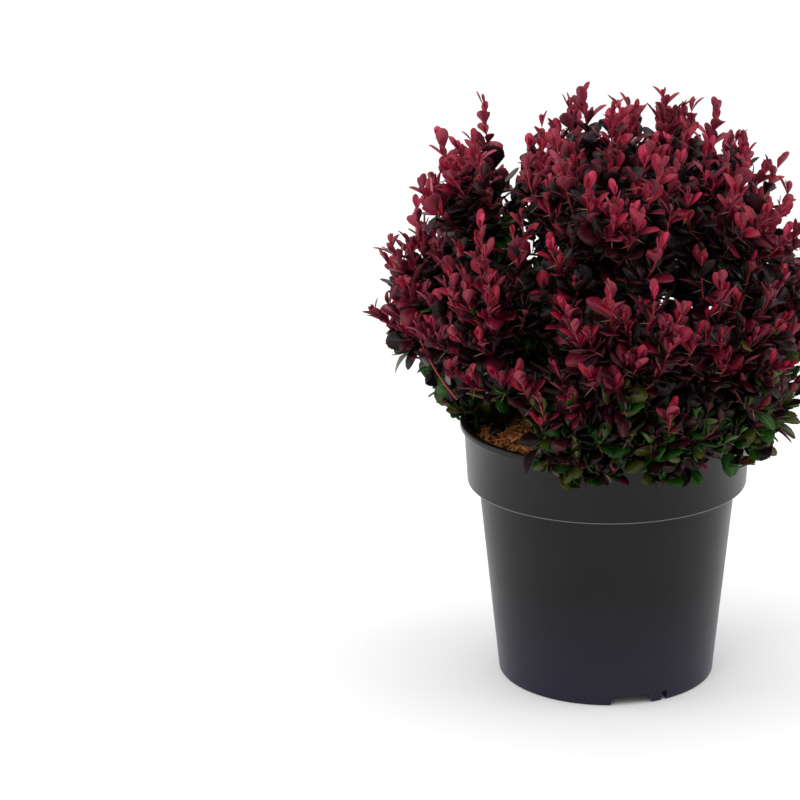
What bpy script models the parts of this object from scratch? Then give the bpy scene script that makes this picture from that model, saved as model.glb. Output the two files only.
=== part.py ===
"""Potted Japanese barberry: a round nursery pot, its compost and a small domed shrub.

Units are metres and +Z is up. The origin is the middle of the pot's underside, at ground level.
The front is -Y: the open notch in the pot's foot is there, a little to the right of the middle.
"""

import math
import random

import bmesh
import bpy
from mathutils import Matrix, Quaternion, Vector
from mathutils.bvhtree import BVHTree

# Pot, a turned plastic shell with a deep collar
POT_HEIGHT = 0.1715
RIM_RADIUS = 0.0950
RIM_BEAD = 0.0044
COLLAR_HEIGHT = 0.0411
COLLAR_TOP_RADIUS = 0.0923
COLLAR_FOOT_RADIUS = 0.0904
BODY_TOP_RADIUS = 0.0833
FOOT_RADIUS = 0.0706
WALL = 0.0016
FLOOR_RISE = 0.0062
FLOOR_DISC_RADIUS = 0.0400
FLOOR_SLOPE = 0.0030
DRAIN_HOLES = 6
DRAIN_RADIUS = 0.0045
FOOT_NOTCHES = 3
NOTCH_FROM, NOTCH_TO = 0.8, 26.8
NOTCH_SHOULDER = 3.6
SLOT_FROM, SLOT_TO = 30.4, 34.0
FRONT = -90.0

# Compost, which fills the pot to a little below its rim
GROUND = 0.1565
GROUND_FLAT_RADIUS = 0.0200
GROUND_CREST = 0.0016
GROUND_EDGE = 0.1515

# Stem and boughs
STEM_HEIGHT = 0.0175
STEM_RADIUS = 0.0070
FLARE_RADIUS = 0.0112
FLARE_LOBES = 5
STEM_SIDES = 10
KNOB_RADIUS = 0.0100
BOUGH_RADIUS = 0.0022
BOUGH_TIP_RADIUS = 0.0016
BOUGH_SWAY = 0.0022
BOUGH_SIDES = 6
BOUGH_RINGS = 4
BOUGH_SHARE = 0.40

# Crown, a broad dome round the fork
CROWN_HALF_WIDTH = 0.150
CROWN_HEIGHT = 0.212
CROWN_SQUARENESS = 2.6
SKIRT_TUCK = 0.28
SKIRT_TOP, SKIRT_FOOT = 25.0, -12.0
SKIRT_TILT = 6.0
SHOOTS = 134
SHOOT_JITTER = 2.2
REACH_JITTER = 0.045

# Masses of foliage: name, elevation, number round the crown, azimuth of the first
TIERS = (
    ("top", 90.0, 1, 0.0),
    ("upper", 63.0, 5, 190.0),
    ("middle", 34.0, 8, 183.0),
    ("lower", 8.0, 8, 205.5),
)
REACH_SHARE = {"upper_1": 1.05, "middle_1": 1.04, "lower_8": 0.94}

# Twigs and leaves
TWIG_SIDES = 3
TWIG_RADIUS = 0.0015
TWIG_TIP_RADIUS = 0.0010
TWIG_RISE = 0.16
MASS_STEM_SIDES = 4
MASS_STEM_SHARE = 0.72
LEAF_LENGTH = 0.0300
LEAF_WIDTH = 0.0180
LEAF_THICKNESS = 0.0018
LEAF_WIDEST = 0.60
LEAF_SINK = 0.0003
TIP_LEAF_SINK = 0.0016
LEAVES_ON_TWIG = 4
LEAF_TRIES = 6
LEAF_FROM = 0.40
LEAF_SPREAD = (62.0, 34.0)
TIP_LEAF_SPREAD = 12.0
TIP_LEAF_SHARE = 0.86

TURNS = 36
GAP = 0.0003
CELL_CLEARANCE = 0.0003
POT_CLEARANCE = 0.0018
GOLDEN_ANGLE = 137.50776
SEED = 41
MERGE = 0.00001
SHORTEST_EDGE = 0.00025
UP = Vector((0, 0, 1))
FORK = Vector((0, 0, GROUND + STEM_HEIGHT))

# Colours, roughness and metallic value of each material
FINISHES = {
    "black_plastic": ((0.012, 0.012, 0.014), 0.42, 0.0),
    "bark_mulch": ((0.26, 0.10, 0.035), 0.90, 0.0),
    "barberry_bark": ((0.12, 0.045, 0.035), 0.75, 0.0),
    "barberry_foliage": ((0.16, 0.018, 0.035), 0.45, 0.0),
}


def clear_scene():
    for obj in list(bpy.data.objects):
        bpy.data.objects.remove(obj, do_unlink=True)


def new_collection(name):
    collection = bpy.data.collections.new(name)
    bpy.context.scene.collection.children.link(collection)
    return collection


def new_material(name):
    colour, roughness, metallic = FINISHES[name]
    material = bpy.data.materials.new(name)
    material.use_nodes = True
    shader = material.node_tree.nodes["Principled BSDF"]
    shader.inputs["Base Color"].default_value = (*colour, 1.0)
    shader.inputs["Roughness"].default_value = roughness
    shader.inputs["Metallic"].default_value = metallic
    return material


def add_object(name, bm, collection, material=None):
    """A new object that holds the bmesh, which is freed."""
    mesh = bpy.data.meshes.new(name)
    bm.to_mesh(mesh)
    bm.free()
    if material:
        mesh.materials.append(material)
    obj = bpy.data.objects.new(name, mesh)
    collection.objects.link(obj)
    return obj


def turn_profile(name, profile, collection, material):
    """A profile of (radius, height) points turned round Z, running down its outer side."""
    bm = bmesh.new()
    verts = [bm.verts.new((radius, 0, height)) for radius, height in profile]
    for first, second in zip(verts, verts[1:]):
        bm.edges.new((first, second))
    obj = add_object(name, bm, collection, material)
    screw = obj.modifiers.new("turn", "SCREW")
    screw.axis = "Z"
    screw.angle = math.tau
    screw.steps = TURNS
    screw.render_steps = TURNS
    screw.use_merge_vertices = True
    screw.merge_threshold = MERGE
    screw.use_smooth_shade = True
    return obj


def body_radius(height):
    """The outer radius of the pot's body at a height."""
    share = height / (POT_HEIGHT - COLLAR_HEIGHT)
    return FOOT_RADIUS + share * (BODY_TOP_RADIUS - FOOT_RADIUS)


def pot_inside(inset):
    """The pot's inner surface from the middle of the floor to the collar, moved in by an inset."""
    ledge = POT_HEIGHT - COLLAR_HEIGHT + WALL + inset
    floor = FLOOR_RISE + WALL + inset
    return [
        (0, WALL + inset),
        (FLOOR_DISC_RADIUS - inset, WALL + inset),
        (FLOOR_DISC_RADIUS + FLOOR_SLOPE - inset, floor),
        (body_radius(floor) - WALL - inset, floor),
        (BODY_TOP_RADIUS - WALL - inset, ledge),
        (COLLAR_FOOT_RADIUS - WALL - inset, ledge),
    ]


def collar_inside(height, inset):
    """The radius of the collar's inner surface at a height, moved in by an inset."""
    share = (height - POT_HEIGHT + COLLAR_HEIGHT) / COLLAR_HEIGHT
    outer = COLLAR_FOOT_RADIUS + share * (COLLAR_TOP_RADIUS - COLLAR_FOOT_RADIUS)
    return outer - WALL - inset


def pot_profile():
    inside = pot_inside(0.0)
    collar_foot = POT_HEIGHT - COLLAR_HEIGHT
    bead = RIM_RADIUS - COLLAR_TOP_RADIUS
    lip = [
        (collar_inside(POT_HEIGHT - bead / 2, 0.0), POT_HEIGHT - bead / 2),
        (collar_inside(POT_HEIGHT, -WALL / 4), POT_HEIGHT),
        (RIM_RADIUS - bead / 2, POT_HEIGHT),
        (RIM_RADIUS, POT_HEIGHT - bead / 2),
        (RIM_RADIUS, POT_HEIGHT - RIM_BEAD + bead / 2),
        (COLLAR_TOP_RADIUS, POT_HEIGHT - RIM_BEAD),
    ]
    outside = [
        (COLLAR_FOOT_RADIUS, collar_foot),
        (BODY_TOP_RADIUS, collar_foot),
        (FOOT_RADIUS, 0),
        (FOOT_RADIUS - WALL, 0),
        (FOOT_RADIUS - WALL, FLOOR_RISE),
        (FLOOR_DISC_RADIUS + FLOOR_SLOPE + WALL, FLOOR_RISE),
        (FLOOR_DISC_RADIUS + WALL, 0),
        (0, 0),
    ]
    return inside + lip + outside


def wall_cutter(name, from_angle, to_angle, shoulder, centre_turn, collection):
    """A wedge through the foot's wall, from the ground up, with slanting sides."""
    middle = math.radians((from_angle + to_angle) / 2 + centre_turn)
    half_foot = FOOT_RADIUS * math.sin(math.radians((to_angle - from_angle) / 2))
    half_top = half_foot - FOOT_RADIUS * math.sin(math.radians(shoulder))
    bm = bmesh.new()
    cube = bmesh.ops.create_cube(bm, size=1.0)
    for vert in cube["verts"]:
        high = vert.co.z > 0
        side = math.copysign(half_top if high else half_foot, vert.co.y)
        depth = math.copysign(4 * WALL, vert.co.x)
        vert.co = (FOOT_RADIUS - WALL + depth, side, FLOOR_RISE if high else -FLOOR_RISE)
    cutter = add_object(name, bm, collection)
    cutter.rotation_euler = (0, 0, middle)
    return cutter


def drain_cutter(index, collection):
    """A round hole through the raised part of the floor."""
    turn = math.tau * (index + 0.5) / DRAIN_HOLES
    radius = (FLOOR_DISC_RADIUS + FLOOR_SLOPE + FOOT_RADIUS) / 2
    bm = bmesh.new()
    bmesh.ops.create_cone(
        bm, cap_ends=True, segments=12, radius1=DRAIN_RADIUS, radius2=DRAIN_RADIUS, depth=4 * WALL
    )
    cutter = add_object(f"drain_{index + 1}", bm, collection)
    cutter.location = (radius * math.cos(turn), radius * math.sin(turn), FLOOR_RISE + WALL / 2)
    return cutter


def make_pot(collection, cutters):
    pot = turn_profile("pot", pot_profile(), collection, new_material("black_plastic"))
    for index in range(FOOT_NOTCHES):
        turn = FRONT + index * 360 / FOOT_NOTCHES
        wall_cutter(f"notch_{index + 1}", NOTCH_FROM, NOTCH_TO, NOTCH_SHOULDER, turn, cutters)
        wall_cutter(f"slot_{index + 1}", SLOT_FROM, SLOT_TO, 0.3, turn, cutters)
    for index in range(DRAIN_HOLES):
        drain_cutter(index, cutters)
    for cutter in cutters.objects:
        cutter.hide_render = True
        cutter.display_type = "WIRE"
    cut = pot.modifiers.new("notches and drains", "BOOLEAN")
    cut.operation = "DIFFERENCE"
    cut.operand_type = "COLLECTION"
    cut.collection = cutters


def make_compost(collection):
    """The compost, a solid that stands a gap clear of the pot, with a flat place for the stem."""
    inside = pot_inside(GAP)
    crest = (GROUND_FLAT_RADIUS + COLLAR_FOOT_RADIUS) / 2
    surface = [
        (0, GROUND),
        (GROUND_FLAT_RADIUS, GROUND),
        (crest, GROUND + GROUND_CREST),
        (collar_inside(GROUND_EDGE, GAP), GROUND_EDGE),
    ]
    turn_profile("compost", surface + inside[::-1], collection, new_material("bark_mulch"))


def direction(azimuth, elevation):
    """The unit vector at an azimuth from +X and an elevation, both in degrees."""
    turn, rise = math.radians(azimuth), math.radians(elevation)
    return Vector((math.cos(turn) * math.cos(rise), math.sin(turn) * math.cos(rise), math.sin(rise)))


def elevation_of(axis):
    return math.degrees(math.asin(max(-1.0, min(1.0, axis.z))))


def crown_reach(axis):
    """How far the crown reaches from the fork along a direction: a squarish dome, tucked in below."""
    across = math.hypot(axis.x, axis.y) / CROWN_HALF_WIDTH
    along = max(axis.z, 0.0) / CROWN_HEIGHT
    dome = (across**CROWN_SQUARENESS + along**CROWN_SQUARENESS) ** (-1 / CROWN_SQUARENESS)
    share = (SKIRT_TOP - elevation_of(axis)) / (SKIRT_TOP - SKIRT_FOOT)
    share = max(0.0, min(1.0, share))
    return dome * (1 - SKIRT_TUCK * share * share * (3 - 2 * share))


def crown_masses():
    """Each mass of foliage with its name and the direction of its middle from the fork."""
    masses = []
    for tier, elevation, count, first in TIERS:
        for index in range(count):
            azimuth = first + index * 360 / count
            tilt = SKIRT_TILT * math.cos(math.radians(azimuth - 180)) if tier == "lower" else 0
            name = tier if count == 1 else f"{tier}_{index + 1}"
            masses.append((name, direction(azimuth, elevation + tilt)))
    return masses


def shoot_tips(masses):
    """The tips of the shoots of each mass, spread evenly over the crown on a golden-angle spiral."""
    rng = random.Random(SEED)
    lowest = math.sin(math.radians(SKIRT_FOOT))
    tips = {name: [] for name, _ in masses}
    for index in range(SHOOTS):
        height = 1 - (index + 0.5) / SHOOTS * (1 - lowest)
        elevation = math.degrees(math.asin(height)) + rng.uniform(-SHOOT_JITTER, SHOOT_JITTER)
        azimuth = index * GOLDEN_ANGLE + rng.uniform(-SHOOT_JITTER, SHOOT_JITTER)
        stretch = 1 + rng.uniform(-REACH_JITTER, REACH_JITTER)
        axis = direction(azimuth, min(elevation, 90.0))
        name, middle = max(masses, key=lambda mass: mass[1].dot(axis))
        axis = middle.slerp(axis, 0.90)
        tips[name].append(axis * crown_reach(axis) * stretch * REACH_SHARE.get(name, 1.0))
    return tips


class Space:
    """The space that one mass keeps to: the directions nearest its own middle, clear of the pot."""

    def __init__(self, middle, masses, inner_end):
        self.middle = middle
        self.inner_end = inner_end
        others = [axis for _, axis in masses if axis is not middle]
        self.sides = [(middle - axis).normalized() for axis in others]

    def holds(self, point):
        """Whether a point, counted from the fork, lies in the space."""
        if any(side.dot(point) < CELL_CLEARANCE for side in self.sides):
            return False
        if self.middle.dot(point) < self.inner_end:
            return False
        return clear_of_pot(point + FORK)

    def holds_all(self, points):
        """Whether the points, and places along the lines between them, lie in the space."""
        pairs = [(a, b) for i, a in enumerate(points) for b in points[:i]]
        between = [a.lerp(b, share / 6) for a, b in pairs for share in range(1, 6)]
        return all(self.holds(point) for point in [*points, *between])


def clear_of_pot(point):
    """Whether a point in the frame is clear of the rim, the wall and the compost."""
    radius = math.hypot(point.x, point.y)
    if radius > RIM_RADIUS + POT_CLEARANCE:
        return True
    if radius > collar_inside(GROUND_EDGE, POT_CLEARANCE):
        return point.z > POT_HEIGHT + POT_CLEARANCE
    return point.z > GROUND + GROUND_CREST + POT_CLEARANCE


def aligned(origin, along, side):
    """The matrix of a frame with Z along a direction and X near a side."""
    z_axis = along.normalized()
    x_axis = (side - z_axis * side.dot(z_axis)).normalized()
    y_axis = z_axis.cross(x_axis)
    rotation = Matrix((x_axis, y_axis, z_axis)).transposed().to_4x4()
    return Matrix.Translation(origin) @ rotation


def closed_tube(points, radii, sides, side=None):
    """A closed tapering tube through the points: a disc extruded from ring to ring."""
    ends = [points[0], *points, points[-1]]
    tangents = [after - before for before, after in zip(ends, ends[2:])]
    frame = aligned(points[0], tangents[0], side or tangents[0].orthogonal())
    bm = bmesh.new()
    disc = bmesh.ops.create_circle(
        bm, cap_ends=True, segments=sides, radius=radii[0], matrix=frame
    )
    cap = disc["verts"][0].link_faces[0]
    for ring in range(1, len(points)):
        grown = bmesh.ops.extrude_face_region(bm, geom=[cap])["geom"]
        if ring > 1:
            bmesh.ops.delete(bm, geom=[cap], context="FACES_ONLY")
        cap = next(item for item in grown if isinstance(item, bmesh.types.BMFace))
        next_frame = aligned(points[ring], tangents[ring], frame.to_3x3().col[0])
        taper = Matrix.Scale(radii[ring] / radii[ring - 1], 4)
        step = next_frame @ taper @ frame.inverted()
        bmesh.ops.transform(bm, matrix=step, verts=cap.verts[:])
        frame = next_frame
    bmesh.ops.recalc_face_normals(bm, faces=bm.faces[:])
    return bm


def make_stem(collection, bark):
    """The short main stem: a flared foot, a waist and the knob that the boughs leave."""
    foot = Vector((0, 0, GROUND + GAP))
    height = FORK.z - foot.z
    shares = (0.0, 0.14, 0.38, 0.70, 1.0)
    widths = (1.0, 0.35, 0.08, 0.0, 0.05)
    points = [foot + UP * height * share for share in shares]
    radii = [STEM_RADIUS + (FLARE_RADIUS - STEM_RADIUS) * width for width in widths]
    bm = closed_tube(points, radii, STEM_SIDES, Vector((1, 0, 0)))
    for vert in bm.verts:
        low = 1 - min(1.0, (vert.co.z - foot.z) / (height * 0.38))
        turn = math.atan2(vert.co.y, vert.co.x)
        lobe = 1 + 0.16 * low * math.cos(FLARE_LOBES * turn)
        vert.co.x *= lobe
        vert.co.y *= lobe
    stem = add_object("main_stem", bm, collection, bark)
    ball = bmesh.new()
    bmesh.ops.create_uvsphere(ball, u_segments=12, v_segments=8, radius=KNOB_RADIUS)
    knob = add_object("knob", ball, collection)
    knob.location = FORK
    fuse(stem, [knob])


def bough_end(name, middle):
    """How far from the fork a mass's bough ends."""
    return BOUGH_SHARE * crown_reach(middle) * REACH_SHARE.get(name, 1.0)


def make_bough(name, middle, collection, bark):
    """One tapering limb from the knob to its mass, with a slight sway."""
    rng = random.Random(f"{SEED} bough {name}")
    start = KNOB_RADIUS + GAP
    length = bough_end(name, middle) - start
    sway = middle.orthogonal().normalized() * BOUGH_SWAY
    sway.rotate(Quaternion(middle, rng.uniform(0, math.tau)))
    points, radii = [], []
    for ring in range(BOUGH_RINGS):
        share = ring / (BOUGH_RINGS - 1)
        bend = math.sin(math.pi * share) ** 2
        points.append(FORK + middle * (start + length * share) + sway * bend)
        radii.append(BOUGH_RADIUS + (BOUGH_TIP_RADIUS - BOUGH_RADIUS) * share)
    bm = closed_tube(points, radii, BOUGH_SIDES)
    return add_object(f"bough_{name}", bm, collection, bark)


def stem_path(name, middle):
    """The start, the middle and the end of a mass's own stem, which turns up a little."""
    start = bough_end(name, middle) + GAP
    end = MASS_STEM_SHARE * crown_reach(middle) * REACH_SHARE.get(name, 1.0)
    rise = UP - middle * UP.dot(middle)
    lift = 0.05 * (end - start)
    return [
        middle * start,
        middle * (start + end) / 2 + rise * lift * 0.4,
        middle * end + rise * lift * 1.6,
    ]


def along_path(path, share):
    """A point on the smooth curve through three points, and the curve's direction there."""
    start, middle, end = path
    bend = middle * 2 - (start + end) / 2
    point = start * (1 - share) ** 2 + bend * 2 * share * (1 - share) + end * share**2
    heading = (bend - start) * (1 - share) + (end - bend) * share
    return point, heading.normalized()


def twig_path(tip, stem, middle, rise):
    """A twig from the stem to a shoot's tip, leaving lower down the wider it spreads."""
    spread = math.degrees(middle.angle(tip))
    share = max(0.08, min(0.94, 0.98 - spread / 24))
    start, _ = along_path(stem, share)
    end = start.lerp(tip, 1 - TIP_LEAF_SHARE * LEAF_LENGTH / (tip - start).length)
    lift = UP - tip.normalized() * UP.dot(tip.normalized())
    bend = start.lerp(end, 0.5) - lift * rise * (end - start).length
    return [start, bend, end]


def twig_points(points, radii):
    """Points round each ring of a twig, for testing it against a space."""
    return [
        point + offset * radius
        for point, radius in zip(points[1:], radii[1:])
        for offset in (Vector((1, 0, 0)), Vector((-1, 0, 0)), UP, -UP)
    ]


def leaf_solid(frame, size):
    """A leaf as a flat octahedron: its root at the frame's origin, its tip along the frame's Z."""
    bm = bmesh.new()
    bmesh.ops.create_uvsphere(bm, u_segments=4, v_segments=2, radius=1.0)
    for vert in bm.verts:
        along = 0.5 * (1 + vert.co.x) if abs(vert.co.x) > 0.5 else LEAF_WIDEST
        across = vert.co.y * LEAF_WIDTH / 2
        vert.co = (vert.co.z * LEAF_THICKNESS / 2, across * size, along * LEAF_LENGTH * size)
    bmesh.ops.transform(bm, matrix=frame, verts=bm.verts[:])
    bmesh.ops.recalc_face_normals(bm, faces=bm.faces[:])
    return bm


def leaf_frame(path, index, turn):
    """The frame of one leaf of a twig: Z runs to the leaf's tip, X is its upper side."""
    share = index / (LEAVES_ON_TWIG - 1)
    point, heading = along_path(path, LEAF_FROM + (1 - LEAF_FROM) * share)
    wide, narrow = LEAF_SPREAD
    spread = TIP_LEAF_SPREAD if share == 1 else wide + (narrow - wide) * share
    around = heading.orthogonal().normalized()
    around.rotate(Quaternion(heading, math.radians(turn)))
    lean = math.radians(spread)
    axis = heading * math.cos(lean) + around * math.sin(lean)
    upper = heading * math.sin(lean) - around * math.cos(lean)
    sink = TIP_LEAF_SINK if share == 1 else LEAF_SINK
    return aligned(point - axis * sink, axis, upper)


def fitting_leaf(path, index, turn, space, grown):
    """A leaf at the first turn round its twig where it stays in the space and clear of the rest."""
    size = TIP_LEAF_SHARE if index == LEAVES_ON_TWIG - 1 else 1.0
    for attempt in range(LEAF_TRIES):
        frame = leaf_frame(path, index, turn + attempt * GOLDEN_ANGLE)
        solid = leaf_solid(frame, size)
        tree = BVHTree.FromBMesh(solid)
        inside = space.holds_all([vert.co.copy() for vert in solid.verts])
        if inside and not any(tree.overlap(other) for other in grown):
            return solid, tree
        solid.free()
    return None, None


def grow_mass(name, middle, masses, tips, collection, foliage):
    """One mass: a stem, the twigs that branch from it and their leaves, joined into one solid."""
    space = Space(middle, masses, bough_end(name, middle) + GAP)
    stem = stem_path(name, middle)
    rings = [along_path(stem, share)[0] for share in (0.0, 0.02, 0.5, 1.0)]
    radii = [BOUGH_TIP_RADIUS, BOUGH_TIP_RADIUS, TWIG_RADIUS * 1.25, TWIG_RADIUS]
    bm = closed_tube(rings, radii, MASS_STEM_SIDES)
    grown = [BVHTree.FromBMesh(bm)]
    mass = add_object(f"foliage_{name}", bm, collection, foliage)
    mass.location = FORK
    twigs = [fitting_twig(tip, stem, middle, space) for tip in tips]
    twigs = [path for path in twigs if path]
    solids = [closed_tube(*twig_rings(path), TWIG_SIDES) for path in twigs]
    trees = [BVHTree.FromBMesh(solid) for solid in solids]
    for number, path in enumerate(twigs):
        rng = random.Random(f"{SEED} twig {name} {number}")
        turn = rng.uniform(0, 360)
        others = [tree for place, tree in enumerate(trees) if place != number]
        for index in range(LEAVES_ON_TWIG):
            start = turn + index * GOLDEN_ANGLE
            solid, tree = fitting_leaf(path, index, start, space, grown + others)
            if solid:
                solids.append(solid)
                grown.append(tree)
    pieces = [add_object("piece", solid, collection) for solid in solids]
    for piece in pieces:
        piece.location = FORK
    fuse(mass, pieces)


def twig_rings(path):
    points = [along_path(path, share)[0] for share in (0.0, 0.5, 1.0)]
    radii = [TWIG_RADIUS, (TWIG_RADIUS + TWIG_TIP_RADIUS) / 2, TWIG_TIP_RADIUS]
    return points, radii


def fitting_twig(tip, stem, middle, space):
    """The twig with the most rise that stays in the space, or None."""
    for rise in (TWIG_RISE, TWIG_RISE / 2, 0.0):
        path = twig_path(tip, stem, middle, rise)
        points, radii = twig_rings(path)
        if space.holds_all(twig_points(points, radii)):
            return path
    return None


def fuse(target, pieces):
    """Joins the pieces to the target with one union, and keeps the largest body that results."""
    group = bpy.data.collections.new("pieces")
    for piece in pieces:
        for home in list(piece.users_collection):
            home.objects.unlink(piece)
        group.objects.link(piece)
    bpy.context.scene.collection.children.link(group)
    union = target.modifiers.new("union", "BOOLEAN")
    union.operation = "UNION"
    union.operand_type = "COLLECTION"
    union.collection = group
    joined = None
    for solver in ("EXACT", "MANIFOLD"):
        union.solver = solver
        joined = evaluated_mesh(target)
        if is_closed(joined):
            break
    target.modifiers.remove(union)
    target.data = joined
    for piece in pieces:
        bpy.data.objects.remove(piece, do_unlink=True)
    bpy.data.collections.remove(group)
    keep_largest_body(target.data)


def evaluated_mesh(obj):
    bpy.context.view_layer.update()
    depsgraph = bpy.context.evaluated_depsgraph_get()
    return bpy.data.meshes.new_from_object(obj.evaluated_get(depsgraph))


def is_closed(mesh):
    bm = bmesh.new()
    bm.from_mesh(mesh)
    closed = len(bm.faces) > 0 and all(len(edge.link_faces) == 2 for edge in bm.edges)
    bm.free()
    return closed


def keep_largest_body(mesh):
    """Drops loose scraps and the walls of sealed hollows, which fills them."""
    bm = bmesh.new()
    bm.from_mesh(mesh)
    bm.faces.ensure_lookup_table()
    left = set(bm.faces)
    bodies = []
    while left:
        body = {left.pop()}
        edge_of_body = list(body)
        while edge_of_body:
            near = {
                other
                for edge in edge_of_body.pop().edges
                for other in edge.link_faces
                if other in left
            }
            left -= near
            body |= near
            edge_of_body.extend(near)
        bodies.append(body)
    largest = max(bodies, key=lambda body: sum(face.calc_area() for face in body))
    scraps = [face for face in bm.faces if face not in largest]
    bmesh.ops.delete(bm, geom=scraps, context="FACES")
    bm.to_mesh(mesh)
    bmesh.ops.remove_doubles(bm, verts=bm.verts[:], dist=SHORTEST_EDGE)
    bmesh.ops.dissolve_degenerate(bm, edges=bm.edges[:], dist=SHORTEST_EDGE / 10)
    if all(len(edge.link_faces) == 2 for edge in bm.edges):
        bm.to_mesh(mesh)
    bm.free()


def main():
    clear_scene()
    plant = new_collection("potted_japanese_barberry")
    cutters = new_collection("cutters")
    make_pot(plant, cutters)
    make_compost(plant)
    bark = new_material("barberry_bark")
    foliage = new_material("barberry_foliage")
    make_stem(plant, bark)
    masses = crown_masses()
    tips = shoot_tips(masses)
    for name, middle in masses:
        make_bough(name, middle, plant, bark)
        grow_mass(name, middle, masses, tips[name], plant, foliage)


main()
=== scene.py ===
import math
import random

import bmesh
import bpy
import numpy as np
from mathutils import Matrix, Quaternion, Vector


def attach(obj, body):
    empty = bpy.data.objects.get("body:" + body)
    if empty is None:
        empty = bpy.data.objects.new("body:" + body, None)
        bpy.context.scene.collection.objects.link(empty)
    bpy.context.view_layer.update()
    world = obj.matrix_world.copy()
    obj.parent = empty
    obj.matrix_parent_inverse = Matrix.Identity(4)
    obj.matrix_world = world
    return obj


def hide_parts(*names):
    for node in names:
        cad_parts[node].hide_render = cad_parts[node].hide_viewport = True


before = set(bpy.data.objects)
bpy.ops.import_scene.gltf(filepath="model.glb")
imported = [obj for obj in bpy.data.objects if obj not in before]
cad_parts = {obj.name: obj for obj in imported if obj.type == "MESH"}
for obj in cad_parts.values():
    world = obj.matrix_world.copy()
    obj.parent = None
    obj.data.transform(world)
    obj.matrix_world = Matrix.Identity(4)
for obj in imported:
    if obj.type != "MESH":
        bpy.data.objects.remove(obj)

# Camera, fitted to the outlines of the pot
CAMERA_PLACE = Vector((0.0, -1.6754, 0.7096))
CAMERA_TURN, CAMERA_DIP, CAMERA_ROLL = 4.569, 17.42, -1.067
LENS, SENSOR = 122.06, 36.0
CLIP_END = 50

# Studio
FLOOR_RADIUS, FLOOR_DROP = 9.0, 0.0002
WORLD_STRENGTH = 0.62
AIM = (0, 0, 0.24)
SOFT_BOXES = (
    ("left_box", (-1.25, -0.10, 0.75), AIM, (1.0, 1.4), 6),
    ("right_box", (1.25, 0.0, 0.75), AIM, (1.0, 1.4), 6),
    ("top_box", (0.0, 1.5, 4.0), (0, 1.5, 0), (9.0, 9.0), 190),
    ("front_box", (-0.7, -1.5, 1.5), AIM, (0.7, 0.7), 5),
)

# Pot
POT_HEIGHT = 0.1715
RIM_RADIUS = 0.0950
RIM_BEAD = 0.0044
COLLAR_HEIGHT = 0.0411
COLLAR_TOP_RADIUS = 0.0923
COLLAR_FOOT_RADIUS = 0.0904
BODY_TOP_RADIUS = 0.0833
FOOT_RADIUS = 0.0706
WALL = 0.0016
FLOOR_RISE = 0.0062
FLOOR_DISC_RADIUS = 0.0400
FLOOR_SLOPE = 0.0030
FOOT_NOTCHES = 3
NOTCH_FROM, NOTCH_TO = 0.8, 26.8
NOTCH_SHOULDER = 3.6
SLOT_FROM, SLOT_TO = 30.4, 34.0
FRONT = -90.0
SLOT_SHOULDER = 0.3
POT_TURNS = 192
LIP_INNER_ROUND, LIP_OUTER_ROUND = 0.0011, 0.0013
COLLAR_FOOT_ROUND, FOOT_ROUND = 0.0007, 0.0006
CORNER = 0.0005
SHARP_ANGLE = 38

# Compost
GROUND = 0.1565
GROUND_FLAT_RADIUS = 0.0200
GROUND_CREST = 0.0016
GROUND_EDGE = 0.1515
SLIVERS = 5200
SLIVER_LENGTH, SLIVER_RADIUS = (0.006, 0.015), (0.0005, 0.0012)
SLIVER_TILT = (-20, 44)
HEAP_DEPTH = 0.0065
MULCH_TINTS = {
    "amber": (0.72, 0.30, 0.09),
    "rust": (0.46, 0.16, 0.045),
    "umber": (0.12, 0.05, 0.02),
}

# Stem and boughs
STEM_HEIGHT = 0.0175
STEM_RADIUS = 0.0070
FLARE_RADIUS = 0.0112
KNOB_RADIUS = 0.0100
BOUGH_RADIUS = 0.0022
BOUGH_TIP_RADIUS = 0.0016
BOUGH_SWAY = 0.0022
BOUGH_SHARE = 0.40
MASS_STEM_SHARE = 0.72
MASS_STEM_TIP_RADIUS = 0.0010
STEM_RINGS, BOUGH_RINGS, MASS_STEM_RINGS = 16, 14, 12
STEM_SIDES, BOUGH_SIDES, MASS_STEM_SIDES = 24, 10, 8

# Crown
CROWN_HALF_WIDTH = 0.150
CROWN_HEIGHT = 0.212
CROWN_SQUARENESS = 2.6
SKIRT_TUCK = 0.28
SKIRT_TOP, SKIRT_FOOT = 25.0, -12.0
SKIRT_TILT = 6.0
SHOOTS = 134
SHOOT_JITTER = 2.2
REACH_JITTER = 0.045
TIERS = (
    ("top", 90.0, 1, 0.0),
    ("upper", 63.0, 5, 190.0),
    ("middle", 34.0, 8, 183.0),
    ("lower", 8.0, 8, 205.5),
)
REACH_SHARE = {"upper_1": 1.05, "middle_1": 1.04, "lower_8": 0.94}
SPIRAL_TO_CELL = 0.90
STEM_LIFT = 0.05
TWIG_RISE = 0.16
TWIG_LOWEST, TWIG_HIGHEST, TWIG_SPREAD = 0.08, 0.94, 24
TIP_ALLOWANCE = 0.012
GOLDEN_ANGLE = 137.50776
SEED = 41
UP = Vector((0, 0, 1))
FORK = Vector((0, 0, GROUND + STEM_HEIGHT))

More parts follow.
